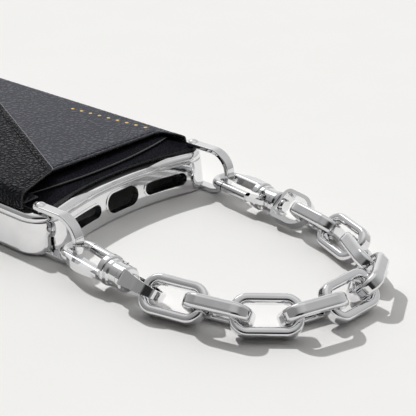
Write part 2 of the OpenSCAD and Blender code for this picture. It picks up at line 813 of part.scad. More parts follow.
module gate(side) {
    tip_x = seam_x - gate_gap;
    color(silver) clasp(side) difference() {
        union() {
            bar(gate_root_x, tip_x, gate_y, bar_r);
            translate([0, 0, -tail_t / 2]) linear_extrude(tail_t) {
                translate([gate_pin_x, gate_pin_y]) circle(tail_r);
                polygon([[gate_pin_x, gate_pin_y - tail_r], [gate_root_x + 1, gate_y - 1.3],
                    [gate_root_x + 1, gate_y + 1], [gate_pin_x, gate_pin_y + tail_r]]);
            }
        }
        translate([gate_pin_x, gate_pin_y, -through / 2])
            cylinder(r = gate_pin_r + pin_play, h = through, $fn = 48);
    }
}

module gate_pin(side) {
    reach = sqrt(pow(barrel_r, 2) - pow(gate_pin_y, 2)) - 0.15;
    color(silver) clasp(side) translate([gate_pin_x, gate_pin_y, -reach])
        cylinder(r = gate_pin_r, h = 2 * reach, $fn = 48);
}

// Torsion spring on the gate's pin: one wire with a leg, its turns and a second leg
module gate_spring(side) {
    sides = 8;
    steps = 20;
    turns = spring_turns;
    rise = 2 * spring_wire_r + 0.04;
    leg = 1.9;
    function on_coil(a) = [gate_pin_x + spring_r * cos(a), gate_pin_y + spring_r * sin(a),
        spring_z + rise * a / 360];
    last = 360 * turns;
    route = concat(
        [on_coil(0) + [0, -leg, 0]],
        [for (i = [0:steps * turns]) on_coil(i * 360 / steps)],
        [on_coil(last) + [0, -leg, 0]]);
    color(silver) clasp(side) wire_along(route, spring_wire_r, sides);
}

// One wire of radius r with flat ends through the points of a route
module wire_along(route, r, sides) {
    count = len(route);
    function along(i) = unit(route[min(i + 1, count - 1)] - route[max(i - 1, 0)]);
    function across(i) = unit(cross(along(i), [0, 0, 1]));
    function ring_of(i) = [for (k = [0:sides - 1]) let (a = 360 * k / sides)
        route[i] + r * (cos(a) * across(i) + sin(a) * cross(across(i), along(i)))];
    points = [for (i = [0:count - 1]) each ring_of(i)];
    faces = concat(
        [[for (k = [sides - 1:-1:0]) k]],
        [for (i = [0:count - 2], k = [0:sides - 1]) let (n = (k + 1) % sides)
            [i * sides + k, i * sides + n, (i + 1) * sides + n, (i + 1) * sides + k]],
        [[for (k = [0:sides - 1]) (count - 1) * sides + k]]);
    polyhedron(points, faces);
}

module swivel_pin(side) {
    head_x = ring_base_x - ring_t - 0.1;
    dome = 0.5;
    color(silver) clasp(side) rotate([0, -90, 0]) rotate_extrude($fn = 64) {
        translate([0, -swivel_seat_x + 0.1])
            square([swivel_r, -head_x + swivel_seat_x]);
        translate([0, -head_x]) polygon([[0, 0], [swivel_head_r, 0],
            [swivel_head_r, swivel_head_l - dome], [swivel_head_r - dome, swivel_head_l],
            [0, swivel_head_l]]);
    }
}

// Ring at the barrel's end: a strip bent to a loop, wide at its foot and narrow at its far end
module ring(side) {
    bend = 2;
    mid_x = ring_end_x + ring_r;
    outer = ring_r + ring_t;
    color(silver) clasp(side) rotate([-ring_roll, 0, 0]) difference() {
        intersection() {
            translate([0, 0, -ring_foot_w / 2]) linear_extrude(ring_foot_w) difference() {
                union() {
                    ring_bend(mid_x, outer);
                    ring_block(mid_x, ring_base_x, outer, bend);
                }
                ring_bend(mid_x, ring_r);
                ring_block(mid_x, ring_base_x - ring_t, ring_r, bend - ring_t);
            }
            translate([0, far / 2, 0]) rotate([90, 0, 0]) linear_extrude(far)
                polygon([[ring_base_x + 1, ring_foot_w / 2], [ring_base_x - 2.5, ring_foot_w / 2],
                    [ring_end_x - ring_t - 1, ring_end_w / 2],
                    [ring_end_x - ring_t - 1, -ring_end_w / 2],
                    [ring_base_x - 2.5, -ring_foot_w / 2], [ring_base_x + 1, -ring_foot_w / 2]]);
        }
        bar(ring_base_x - ring_t - 1, ring_base_x + 1, 0, swivel_r + pin_play);
    }
}

// Far half of the ring's outline about the middle of its bend
module ring_bend(mid_x, r) {
    intersection() {
        translate([mid_x, 0]) circle(r, $fn = 96);
        translate([mid_x + 0.5 - far, -far / 2]) square(far);
    }
}

// Block from the middle of the far bend to the foot, with round corners at the foot
module ring_block(x0, x1, half, r) {
    translate([x0, -half]) square([x1 - x0 - r, 2 * half]);
    translate([x0, -half + r]) square([x1 - x0, 2 * half - 2 * r]);
    for (s = [-1, 1]) translate([x1 - r, s * (half - r)]) circle(r);
}

// ===== Chain =====

// One link about the origin: a rounded square wire bent to a long loop
module plain_link() {
    straight_x = link_l - 2 * link_corner;
    straight_y = link_w - 2 * link_corner;
    for (s = [-1, 1]) {
        translate([-straight_x / 2, s * (link_w - wire) / 2, 0]) rotate([90, 0, 90])
            linear_extrude(straight_x) round_square(wire, wire_h, wire_edge);
        translate([s * (link_l - wire) / 2, straight_y / 2, 0]) rotate([90, 0, 0])
            linear_extrude(straight_y) round_square(wire, wire_h, wire_edge);
    }
    for (s = [0, 1], t = [0, 1]) mirror([s, 0, 0]) mirror([0, t, 0])
        translate([straight_x / 2, straight_y / 2, 0]) rotate_extrude(angle = 90, $fn = 96)
            translate([link_corner - wire / 2, 0]) round_square(wire, wire_h, wire_edge);
}

module chain_link(i) {
    middle = (joint_at(i - 1) + joint_at(i)) / 2;
    roll = i % 2 == 1 ? link_roll : -link_roll;
    color(silver) translate([middle[0], middle[1], strap_z]) rotate([0, 0, heading(i)])
        rotate([roll, 0, 0]) plain_link();
}

// ===== Pieces =====

bumper_frame();
back_plate();
inner_lining();
leather_back();
pocket_inner();
pocket_gusset();
pocket_front();
pocket_magnet();
flap_anchor();
pocket_flap();
flap_magnet();
power_key();
volume_up_key();
volume_down_key();
bracket(-1);  // bracket_left
bracket(1);  // bracket_right
rivet(-1);  // rivet_left
rivet(1);  // rivet_right
hook(-1);  // hook_left
gate(-1);  // gate_left
gate_pin(-1);  // gate_pin_left
gate_spring(-1);  // gate_spring_left
swivel_pin(-1);  // swivel_pin_left
ring(-1);  // ring_left
hook(1);  // hook_right
gate(1);  // gate_right
gate_pin(1);  // gate_pin_right
gate_spring(1);  // gate_spring_right
swivel_pin(1);  // swivel_pin_right
ring(1);  // ring_right
for (i = [1:9])
    chain_link(i);
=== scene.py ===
"""Looks of the chain wallet: leather pieces, stitching, finishes, floor, light and camera.

Lengths are in millimetres, and turn into metres where a mesh is made.
"""

import math

import bpy
import numpy as np
from mathutils import Matrix, Vector
from mathutils.geometry import delaunay_2d_cdt


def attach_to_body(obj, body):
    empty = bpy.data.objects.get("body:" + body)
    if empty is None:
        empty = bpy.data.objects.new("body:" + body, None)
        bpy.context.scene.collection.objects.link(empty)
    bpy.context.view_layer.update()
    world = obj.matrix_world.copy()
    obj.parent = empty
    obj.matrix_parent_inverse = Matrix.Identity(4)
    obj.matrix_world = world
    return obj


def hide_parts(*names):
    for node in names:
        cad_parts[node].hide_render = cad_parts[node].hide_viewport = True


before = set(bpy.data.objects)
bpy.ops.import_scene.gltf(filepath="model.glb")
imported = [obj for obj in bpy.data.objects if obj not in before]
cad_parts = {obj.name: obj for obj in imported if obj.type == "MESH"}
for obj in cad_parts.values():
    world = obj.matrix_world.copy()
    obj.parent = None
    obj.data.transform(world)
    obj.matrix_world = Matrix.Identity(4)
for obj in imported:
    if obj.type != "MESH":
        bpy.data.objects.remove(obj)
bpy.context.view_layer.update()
MM = 0.001
scene = bpy.context.scene
scene.view_settings.view_transform = "Standard"

# ----- camera, at the photograph's viewing angle -----

CAMERA_AT = (-243.50, -235.02, 156.41)
CAMERA_RIGHT = (0.6474, -0.7621, 0.0077)
CAMERA_UP = (0.3087, 0.2714, 0.9116)
CAMERA_BACK = (-0.6968, -0.5878, 0.4109)
SENSOR_W = 36
LENS = 105.08
CLIP_METRES = (0.02, 20)


def make_camera():
    data = bpy.data.cameras.new("camera")
    data.sensor_width = SENSOR_W
    data.lens = LENS
    data.clip_start, data.clip_end = CLIP_METRES
    camera = bpy.data.objects.new("camera", data)
    scene.collection.objects.link(camera)
    axes = Matrix((CAMERA_RIGHT, CAMERA_UP, CAMERA_BACK)).transposed().to_4x4()
    camera.matrix_world = Matrix.Translation(Vector(CAMERA_AT) * MM) @ axes
    scene.camera = camera


make_camera()

# ----- sizes, as in the part's source -----

SEAT = 0.05          # play between a leather piece and what it lies on or in

# the case and its room for the phone; the port end is an arc about (0, CURVE_Y)
CASE_W = 76.9
CURVE_Y = -90.7432
CURVE_R = 95.0
TOP_R = 13.7
TOP_CORNER_Y = 142.357
BAY_Y = 6.3568
BAY_W = 72.1
BAY_L = 147.3
BAY_R = 11.3
CAMERA_HOLE = (-14.75, 132.357, 35.0, 9.0)      # centre x and y, width, corner radius
CAMERA_RIM = 1.2
RIVETS = (33.25, 4.8, 1.15)                     # x, y, radius of the hole in the leather

# leather back, which lies LEATHER_IN inside the case's outline, and lining
LEATHER_Z = 12.0
LEATHER_T = 1.4
LEATHER_IN = 4.2
LEATHER_CORNER_R = 2.0
LINING_Z = 9.35
LINING_T = 0.5

# sheet inside the pocket, with a hollow port end
INNER_Z = 13.4
INNER_T = 0.7
INNER_TOP = INNER_Z + SEAT + INNER_T
INNER_X = 33.3
INNER_LEFT = -28.6
INNER_Y = 11.6
INNER_R = 150.0
INNER_END = 112.8
PORT_POINTS = 60
HIGHLIGHT_TO_Y = 20.0   # how far along its port end's edge a faint painted highlight runs

# pocket front: it slopes up from its sewn shoulder towards the flap's foot, and its sewn foot
# gets FOOT_THINNER thinner within FOOT_STEP
FRONT_T = 1.1
FRONT_Y = 18.2
FRONT_END = 112.2
FRONT_SLOPE = 0.0216
FRONT_RISE = 0.28
RISE_SPAN = 0.9      # share of a half wave that the rise takes across the front
MOUTH_X = -22.0
SEWN_X = 33.55
SEWN_Z = 15.0
SHOULDER_R = 1.0
FRONT_FOOT_Z = 12.72
FRONT_FOOT_U = SEWN_X + SHOULDER_R * math.pi / 2 + SEWN_Z - SHOULDER_R - FRONT_FOOT_Z
FOOT_THINNER = 0.32
FOOT_STEP = 0.5

# spacer round the pocket's room
SPACER_W = 0.8
SPACER_X = 33.1
SPACER_Y = (19.8, 111.8)

# flap and its root strip
FLAP_T = 1.0
FLAP_GAP = 1.3
FLAP_X = -36.25
FLAP_BEND = 2.2
FLAP_BEND_X = FLAP_X + FLAP_BEND
FLAP_FOOT_Z = 13.15
FLAP_FOOT_U = FLAP_BEND_X - FLAP_BEND * math.pi / 2 - (
    SEWN_Z + (SEWN_X - FLAP_BEND_X) * FRONT_SLOPE + FLAP_GAP - FLAP_BEND - FLAP_FOOT_Z)
FLAP_FOOT_Y = (8.7, 110.0)
FLAP_BEND_Y = (9.81, 109.17)
FLAP_CORNER = (-17.0, 16.3)
FLAP_TIP = (22.0, 93.5069)
# from this x on, the flap's edge gets a painted highlight
HIGHLIGHT_FROM_X = FLAP_CORNER[0] - 1
ROOT_T = 0.9
ROOT_IN = 0.7        # between the flap's outer line and the root strip
ROOT_W = INNER_LEFT - SEAT - FLAP_X - ROOT_IN
ROOT_L = 98.8
ROOT_Y = 59.8
ROOT_R = 0.6

# stitches, and the channels that they lie in: half width and depth
STITCH = 2.5
STITCH_GAP = 0.75
THREAD_R = 0.2
THREAD_SIDES = 6
THREAD_DEPTH = 0.22
GROOVE = (0.4, 0.3)
ROOT_THREAD_DEPTH = 0.1
ROOT_GROOVE = (0.32, 0.14)
MOUTH_SEAM_IN = 1.5
FAR_SEAM_IN = 1.8
FLAP_SEAM_IN = 2.3
FLAP_SEAM_X = -33.0  # the flap's seam ends here, before the bend
ROOT_SEAM = ((-30.6, 13.0), (-30.6, 106.0))

# row of foil dots: each ring of a dot by its radius and height
DOTS = 9
DOT_START = np.array([31.0, 23.9])
DOT_STEP = np.array([-0.43, 3.85])
DOT_RINGS = ((0.0, 0.035), (0.4, 0.03), (0.6, 0.02), (0.66, -0.04))
DOT_SIDES = 20

# ----- materials -----

LEATHER_TINT = (0.82, 0.86, 1.0, 1.0)
# pebbled leather colours: darker in the creases as painted shade, lighter on the grain tops as
# painted light
CREASE = (0.003, 0.003, 0.005)
GRAIN = (0.011, 0.0115, 0.015)


def shaded(colour, share):
    return tuple(share * c for c in colour)


class Nodes:
    """Adds nodes to a node tree, and takes a socket or a plain value wherever one goes in."""

    def __init__(self, tree):
        self.tree = tree

    def add(self, kind, **settings):
        node = self.tree.nodes.new(kind)
        for key, value in settings.items():
            setattr(node, key, value)
        return node

    def put(self, value, socket):
        if isinstance(value, bpy.types.NodeSocket):
            self.tree.links.new(value, socket)
        else:
            socket.default_value = value

    def span(self, value, low, high, to_low, to_high):
        """The value from low to high as to_low to to_high, with soft ends."""
        node = self.add("ShaderNodeMapRange", interpolation_type="SMOOTHSTEP")
        self.put(value, node.inputs["Value"])
        for key, number in (("From Min", low), ("From Max", high),
                            ("To Min", to_low), ("To Max", to_high)):
            node.inputs[key].default_value = number
        return node.outputs["Result"]

    def math(self, operation, a, b):
        node = self.add("ShaderNodeMath", operation=operation)
        self.put(a, node.inputs[0])
        self.put(b, node.inputs[1])
        return node.outputs[0]

    def mixed(self, *shares):
        """Sum of values, each times its share."""
        parts = [self.math("MULTIPLY", value, share) for value, share in shares]
        total = parts[0]
        for part in parts[1:]:
            total = self.math("ADD", total, part)
        return total

    def blend(self, factor, a, b):
        """Colour a where the factor is 0, colour b where it is 1."""
        node = self.add("ShaderNodeMix", data_type="RGBA")
        self.put(factor, node.inputs["Factor"])
        for colour, key in ((a, "A"), (b, "B")):
            self.put(colour + (1.0,) if isinstance(colour, tuple) else colour, node.inputs[key])
        return node.outputs["Result"]


class Finish(Nodes):
    """A material about one Principled BSDF; the scales of its patterns are per metre."""

    def __init__(self, name, **sockets):
        self.material = bpy.data.materials.new(name)
        self.material.use_nodes = True
        super().__init__(self.material.node_tree)
        self.bsdf = self.tree.nodes["Principled BSDF"]
        for key, value in sockets.items():
            self.bsdf.inputs[key.replace("_", " ")].default_value = value
        self.where = self.add("ShaderNodeTexCoord").outputs["Object"]

    def noise(self, scale, detail, rough=0.5, distortion=0.0):
        node = self.add("ShaderNodeTexNoise")
        self.put(self.where, node.inputs["Vector"])
        for key, number in (("Scale", scale), ("Detail", detail), ("Roughness", rough),
                            ("Distortion", distortion)):
            node.inputs[key].default_value = number
        return node.outputs["Fac"]

    def cells(self, scale, at):
        """Distance to the edges between cells."""
        node = self.add("ShaderNodeTexVoronoi", feature="DISTANCE_TO_EDGE")
        self.put(at, node.inputs["Vector"])
        node.inputs["Scale"].default_value = scale
        return node.outputs["Distance"]

    def warped(self, scale, amount):
        """The object's coordinates, pushed about by a noise."""
        noise = self.add("ShaderNodeTexNoise")
        self.put(self.where, noise.inputs["Vector"])
        noise.inputs["Scale"].default_value = scale
        push = self.add("ShaderNodeVectorMath", operation="SCALE")
        self.put(noise.outputs["Color"], push.inputs[0])
        push.inputs["Scale"].default_value = amount
        pushed = self.add("ShaderNodeVectorMath", operation="ADD")
        self.put(self.where, pushed.inputs[0])
        self.put(push.outputs[0], pushed.inputs[1])
        return pushed.outputs[0]

    def colour(self, factor, a, b):
        self.put(self.blend(factor, a, b), self.bsdf.inputs["Base Color"])

    def rough(self, value):
        self.put(value, self.bsdf.inputs["Roughness"])

    def bump(self, height, distance, strength, coat=False):
        """Relief of distance mm at most, on the coat too if asked."""
        node = self.add("ShaderNodeBump")
        self.put(height, node.inputs["Height"])
        node.inputs["Distance"].default_value = distance * MM
        node.inputs["Strength"].default_value = strength
        self.put(node.outputs["Normal"], self.bsdf.inputs["Normal"])
        if coat:
            self.put(node.outputs["Normal"], self.bsdf.inputs["Coat Normal"])


def plated(name, colour, rough, peel):
    """Plated metal: mirror bright, with faint smears and a little orange peel."""
    f = Finish(name, Metallic=1.0)
    smear = f.noise(90, detail=4, distortion=1.2)
    fine = f.noise(1400, detail=2)
    f.rough(f.span(f.mixed((smear, 0.7), (fine, 0.3)), 0.35, 0.68, *rough))
    f.colour(f.span(smear, 0.4, 0.7, 0, 1), colour, shaded(colour, 0.94))
    f.bump(f.noise(260, detail=3), peel, 0.5)
    return f.material


def pebbled(name, size, depth, tone, shine, rough, coat=0.0):
    """Pebbled leather: rounded grains of about size mm with creases between them, the creases
    painted darker as painted shade.
    """
    f = Finish(name, Specular_IOR_Level=shine, Specular_Tint=LEATHER_TINT,
               Coat_Weight=coat, Coat_Roughness=0.16)
    at = f.warped(380, 0.0011)
    grain = f.span(f.cells(1000 / size, at), 0.0, 0.32, 0, 1)
    fine = f.span(f.cells(2600 / size, at), 0.0, 0.3, 0, 1)
    lumps = f.noise(240, detail=3)
    height = f.mixed((grain, 0.75), (fine, 0.16), (lumps, 0.5))
    # painted shade darker in the creases and painted light on the grain tops, plus random lumps of
    # tone
    painted_shade_and_tone = f.mixed((grain, 0.8), (lumps, 0.4))
    f.colour(f.span(painted_shade_and_tone, 0.2, 1.0, 0, 1), shaded(CREASE, tone), shaded(GRAIN, tone))
    f.rough(f.span(grain, 0.0, 1.0, *rough))
    f.bump(height, depth, 0.9, coat > 0)
    return f.material


def painted_edge(name, dark, light):
    """Painted leather edge: smooth and a little uneven."""
    f = Finish(name)
    wave = f.noise(700, detail=3)
    f.colour(wave, dark, light)
    f.rough(f.span(wave, 0.3, 0.7, 0.22, 0.34))
    f.bump(wave, 0.05, 0.5)
    return f.material


def suede(name, dark, light):
    """Napped back of leather or microfibre lining."""
    f = Finish(name, Sheen_Weight=0.25, Sheen_Roughness=0.5)
    nap = f.noise(2200, detail=4, rough=0.7)
    patch = f.noise(60, detail=3)
    f.colour(f.span(f.mixed((nap, 0.6), (patch, 0.4)), 0.3, 0.7, 0, 1), dark, light)
    f.rough(f.span(nap, 0.2, 0.8, 0.8, 0.98))
    f.bump(nap, 0.08, 0.7)
    return f.material


def thread(name, colour):
    """Waxed thread: fine twist along its length."""
    f = Finish(name)
    twist = f.noise(3500, detail=2, distortion=2)
    f.colour(twist, shaded(colour, 0.7), colour)
    f.rough(f.span(twist, 0.3, 0.7, 0.35, 0.55))
    f.bump(twist, 0.05, 0.6)
    return f.material


def moulded(name, colour, rough):
    """Moulded plastic with a fine even texture."""
    f = Finish(name)
    grain = f.noise(1500, detail=3)
    f.colour(grain, shaded(colour, 0.8), colour)
    f.rough(f.span(grain, 0.3, 0.7, *rough))
    f.bump(grain, 0.02, 0.5)
    return f.material


def foil(name, dark, light):
    """Metal foil pressed into leather."""
    f = Finish(name, Metallic=1.0)
    flake = f.noise(1800, detail=3)
    f.colour(flake, dark, light)
    f.rough(f.span(flake, 0.3, 0.7, 0.25, 0.42))
    f.bump(flake, 0.03, 0.6)
    return f.material


SHELL = plated("plated_shell", (0.84, 0.84, 0.85), rough=(0.03, 0.07), peel=0.03)
METAL = plated("polished_metal", (0.80, 0.80, 0.81), rough=(0.03, 0.07), peel=0.02)
STEEL = plated("brushed_magnet", (0.55, 0.55, 0.57), rough=(0.25, 0.4), peel=0.02)
# the same black leather in three copies whose tones differ as painted light and shade: the pocket
# front's is lighter, the flap's and the smooth one's darker
LEATHER = pebbled("pebbled_leather", size=1.65, depth=0.4, tone=3.6, shine=0.72,
                  rough=(0.54, 0.44))
FLAP_LEATHER = pebbled("pebbled_flap", size=1.6, depth=0.9, tone=0.9, shine=0.12,
                       rough=(0.6, 0.26), coat=0.04)
SMOOTH = pebbled("smooth_leather", size=0.8, depth=0.08, tone=1.1, shine=0.02,
                 rough=(0.6, 0.45))
EDGE = painted_edge("painted_edge", (0.008, 0.008, 0.010), (0.022, 0.022, 0.026))
# edge paint made lighter as a painted highlight, for the light caught by the flap's slanted edge
HIGHLIGHTED_EDGE = painted_edge("edge_painted_highlight", (0.08, 0.08, 0.085), (0.16, 0.16, 0.17))
# a fainter painted highlight, for the light line along the inner sheet's port end
FAINT_HIGHLIGHTED_EDGE = painted_edge("edge_faint_painted_highlight", (0.02, 0.02, 0.022), (0.05, 0.05, 0.054))
SUEDE = suede("leather_back_side", (0.02, 0.02, 0.024), (0.05, 0.05, 0.055))
LINING = suede("lining_microfibre", (0.045, 0.045, 0.05), (0.09, 0.09, 0.1))
THREAD = thread("waxed_thread", (0.012, 0.012, 0.014))
PLASTIC = moulded("black_plastic", (0.02, 0.02, 0.022), rough=(0.39, 0.53))
FOIL = foil("gold_foil", (0.9, 0.6, 0.15), (1.0, 0.76, 0.3))

NODE_FINISH = {"bumper_frame": SHELL, "power_key": SHELL, "volume_up_key": SHELL,
               "volume_down_key": SHELL, "back_plate": PLASTIC,
               "pocket_magnet": STEEL, "flap_magnet": STEEL}
for node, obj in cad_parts.items():
    obj.data.materials.clear()
    obj.data.materials.append(NODE_FINISH.get(node, METAL))

# ----- flat drawing: outlines, insets, distances -----

ARC_STEP = 0.4
CORNER_STEP = 0.35
POINT_STEP = 0.7     # between the points of a sheet's outline or seam
CLOSEST = 0.05       # points closer than this are one
BATCH = 4000         # points measured at a time


def unit(vectors):
    return vectors / np.linalg.norm(vectors, axis=1)[:, None]


def arc(cx, cy, r, a0, a1, step=ARC_STEP):
    """Points on a circle from angle a0 to a1, in degrees."""
    n = max(2, int(abs(math.radians(a1 - a0)) * r / step) + 1)
    a = np.radians(np.linspace(a0, a1, n + 1))
    return np.c_[cx + r * np.cos(a), cy + r * np.sin(a)]


def rounded(points, radii):
    """Closed outline through the points, with its corners rounded."""
    out = []
    pts = [np.array(p, float) for p in points]
    for i, (p, r) in enumerate(zip(pts, radii)):
        a = pts[i - 1] - p
        b = pts[(i + 1) % len(pts)] - p
        a /= np.linalg.norm(a)
        b /= np.linalg.norm(b)
        half = math.acos(max(-1, min(1, float(a @ b)))) / 2
        reach = r / math.tan(half)
        centre = p + (a + b) / np.linalg.norm(a + b) * r / math.sin(half)
        s, e = p + a * reach - centre, p + b * reach - centre
        a0 = math.atan2(s[1], s[0])
        turn = (math.atan2(e[1], e[0]) - a0 + math.pi) % (2 * math.pi) - math.pi
        for t in np.linspace(0, 1, max(3, int(abs(turn) * r / CORNER_STEP) + 2)):
            out.append(centre + r * np.array([math.cos(a0 + turn * t),
                                              math.sin(a0 + turn * t)]))
    return np.array(out)


def round_rect(cx, cy, w, h, r):
    return rounded([(cx - w / 2, cy - h / 2), (cx + w / 2, cy - h / 2),
                    (cx + w / 2, cy + h / 2), (cx - w / 2, cy + h / 2)], [r] * 4)


def evenly(loop, closed=True):
    """The loop with points about POINT_STEP apart, keeping its corners."""
    pts = list(loop) + ([loop[0]] if closed else [])
    out = []
    for a, b in zip(pts[:-1], pts[1:]):
        a, b = np.array(a), np.array(b)
        n = max(1, int(round(np.linalg.norm(b - a) / POINT_STEP)))
        out += [a + (b - a) * k / n for k in range(n)]
    if not closed:
        out.append(np.array(pts[-1]))
    keep = [out[0]]
    for p in out[1:]:
        if np.linalg.norm(p - keep[-1]) > CLOSEST:
            keep.append(p)
    if closed and np.linalg.norm(keep[-1] - keep[0]) < CLOSEST:
        keep.pop()
    return np.array(keep)


def along(path, pitch):
    """Points on an open path, pitch apart."""
    seg = np.linalg.norm(np.diff(path, axis=0), axis=1)
    at = np.r_[0, np.cumsum(seg)]
    n = int(at[-1] / pitch)
    s = (at[-1] - n * pitch) / 2 + np.arange(n + 1) * pitch
    return np.c_[np.interp(s, at, path[:, 0]), np.interp(s, at, path[:, 1])]


def path_distance(p, path):
    """Distance of each point to an open path."""
    a, d = path[:-1], np.diff(path, axis=0)
    size = (d * d).sum(1)
    out = np.empty(len(p))
    for k in range(0, len(p), BATCH):
        q = p[k:k + BATCH]
        t = np.clip(((q[:, None, :] - a[None]) * d[None]).sum(2) / size, 0, 1)
        near = a[None] + t[..., None] * d[None]
        out[k:k + BATCH] = np.sqrt(((q[:, None, :] - near) ** 2).sum(2)).min(1)
    return out


def edge_distance(p, loops):
    """Distance of each point to the nearest of the closed loops."""
    return np.min([path_distance(p, np.r_[loop, loop[:1]]) for loop in loops], axis=0)


def is_inside(p, loops):
    """True where a point is inside the outline and outside its holes."""
    odd = np.zeros(len(p), bool)
    for loop in loops:
        for (x0, y0), (x1, y1) in zip(loop, np.roll(loop, -1, axis=0)):
            if y0 == y1:
                continue
            cross = (p[:, 1] > y0) != (p[:, 1] > y1)
            odd ^= cross & (p[:, 0] < (x1 - x0) * (p[:, 1] - y0) / (y1 - y0) + x0)
    return odd


def inset(loop, d):
    """Points of a counter-clockwise outline moved inwards by d."""
    ahead = unit(np.roll(loop, -1, axis=0) - np.roll(loop, 1, axis=0))
    return loop + d * np.c_[-ahead[:, 1], ahead[:, 0]]


def beside(path, offset):
    """An open path's points moved to its left by offset."""
    ahead = unit(np.gradient(path, axis=0))
    return path + np.c_[-ahead[:, 1], ahead[:, 0]] * offset


def part_of(loop, ok):
    """The loop's one run of points where ok is true, in order."""
    start = int(np.argmin(ok))
    return np.roll(loop, -start, axis=0)[np.roll(ok, -start)]


# ----- making sheets and stitches -----

INSETS = (0.06, 0.14, 0.26, 0.42, 0.65, 1.0)    # rows of points inside an edge
GROOVE_ROWS = (-0.55, -0.3, 0.0, 0.3, 0.55)     # rows of points across a groove
CLEAR_OF_ROWS = 0.4  # free distance round a row, in widths of the grid
CLEAR_OF_SEAM = 0.5  # and round a seam's points
SEAM_TO_ROWS = 0.1   # between a seam's points and the rows inside an edge
FOLDED = 0.96        # a row's points nearer to the edge than this share of its inset are left out
SAME_POINT = 1e-7
EDGE_SHARE = 0.3     # a rounded edge ends at this share of the sheet's thickness
PAINT_W = 0.2        # width of the painted band on a sheet's faces
HIGHLIGHT_W = 0.45      # width of the band painted lighter as a painted highlight along an edge
TOP_FACE, PAINTED_FACE, BACK_FACE, HIGHLIGHT_FACE = range(4)

# a stitch from hole to hole: place along it, height over its depth, radius
STITCH_AT = np.array([0, 0.06, 0.2, 0.5, 0.8, 0.94, 1])
STITCH_LIFT = np.array([-0.3, -0.02, 0.08, 0.1, 0.08, -0.02, -0.3])
STITCH_R = np.array([0.5, 0.85, 1, 1, 1, 0.85, 0.5]) * THREAD_R


def make_object(name, verts, faces, materials, index=None):
    data = bpy.data.meshes.new(name)
    data.from_pydata([tuple(v) for v in np.asarray(verts) * MM], [],
                     [tuple(map(int, f)) for f in faces])
    for material in materials:
        data.materials.append(material)
    if index is not None:
        data.polygons.foreach_set("material_index", np.asarray(index, np.int32))
    data.polygons.foreach_set("use_smooth", np.ones(len(faces), bool))
    data.update()
    obj = bpy.data.objects.new(name, data)
    scene.collection.objects.link(obj)
    return obj


def attach(obj, body, slot, *nodes):
    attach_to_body(obj, body)
    if nodes:
        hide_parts(*nodes)


def fill_flat(loops, insets, grid, seams):
    """Triangles that fill the loops, with rows of points beside each edge and each seam."""
    loops = [evenly(loop) for loop in loops]
    edges = []
    start = 0
    for loop in loops:
        n = len(loop)
        edges += [(start + k, start + (k + 1) % n) for k in range(n)]
        start += n
    reach = max(insets)
    rows = []
    for d in insets:
        for loop in loops:
            row = inset(loop, d)
            rows.append(row[is_inside(row, loops) & (edge_distance(row, loops) > FOLDED * d)])
    low, high = loops[0].min(0), loops[0].max(0)
    nx, ny = (max(1, int((high[i] - low[i]) / grid)) for i in (0, 1))
    xs = np.linspace(low[0], high[0], nx + 1)
    ys = np.linspace(low[1], high[1], ny + 1)
    inner = np.array([(x + (0.5 * grid if j % 2 else 0), y)
                      for j, y in enumerate(ys) for x in xs])
    inner = inner[is_inside(inner, loops)]
    inner = inner[edge_distance(inner, loops) > reach + CLEAR_OF_ROWS * grid]
    rows.append(inner)
    if seams:
        sewn = np.concatenate([beside(seam, o) for seam in seams for o in GROOVE_ROWS])
        gap = np.sqrt(((inner[:, None, :] - sewn[None]) ** 2).sum(2)).min(1)
        rows[-1] = inner[gap > CLEAR_OF_SEAM * grid]
        sewn = sewn[is_inside(sewn, loops)]
        rows.append(sewn[edge_distance(sewn, loops) > reach + SEAM_TO_ROWS])
    points = [Vector(p) for p in np.concatenate(loops + rows)]
    got = delaunay_2d_cdt(points, edges, [], 0, SAME_POINT)
    verts = np.array([v[:] for v in got[0]])
    faces = np.array([f for f in got[2] if len(f) == 3])
    faces = faces[is_inside(verts[faces].mean(1), loops)]
    a, b, c = (verts[faces[:, k]] for k in range(3))
    u, v = b - a, c - a
    clockwise = u[:, 0] * v[:, 1] - u[:, 1] * v[:, 0] < 0
    faces[clockwise] = faces[clockwise][:, ::-1]
    return verts, faces, loops


def leather_sheet(name, loops, surface, thick, top, back=SUEDE, grid=1.3, insets=INSETS,
                  edge_r=0.42, seams=(), groove=GROOVE, edge_highlight=None):
    """A sheet with rounded, painted edges about a middle surface.

    surface gives a point and its normal for each flat point, thick is a number or gives one for
    each flat point, and edge_highlight is (which flat points are near an edge that gets a painted
    highlight, its finish).
    """
    flat, faces, loops = fill_flat(loops, insets, grid, seams)
    middle, normal = surface(flat)
    t = thick(flat) if callable(thick) else thick
    d = np.clip(edge_distance(flat, loops) / edge_r, 0, 1)
    down = 0.5 * t * (EDGE_SHARE + (1 - EDGE_SHARE) * np.sqrt(1 - (1 - d) ** 2))
    up = down
    if seams:
        half, depth = groove
        gap = np.min([path_distance(flat, seam) for seam in seams], axis=0)
        up = down - depth * np.exp(-(gap / half) ** 2)
    verts = np.concatenate([middle + normal * up[:, None], middle - normal * down[:, None]])
    border = {}
    for f in faces:
        for a, b in ((f[0], f[1]), (f[1], f[2]), (f[2], f[0])):
            if (b, a) in border:
                del border[(b, a)]
            else:
                border[(a, b)] = True
    n = len(flat)
    sides = [(a + n, b + n, b, a) for a, b in border]
    centres = flat[faces].mean(1)
    distance = edge_distance(centres, loops)
    painted = distance < PAINT_W
    upper = np.where(painted, PAINTED_FACE, TOP_FACE)
    materials = [top, EDGE, back]
    # painted highlight: the chosen edge's band gets the lighter finish
    if edge_highlight:
        upper[(distance < HIGHLIGHT_W) & edge_highlight[0](centres)] = HIGHLIGHT_FACE
        materials.append(edge_highlight[1])
    index = np.r_[upper, np.where(painted, PAINTED_FACE, BACK_FACE),
                  np.full(len(sides), PAINTED_FACE)]
    all_faces = [tuple(f) for f in faces] + [tuple(f[::-1] + n) for f in faces] + sides
    return make_object(name, verts, all_faces, materials, index)


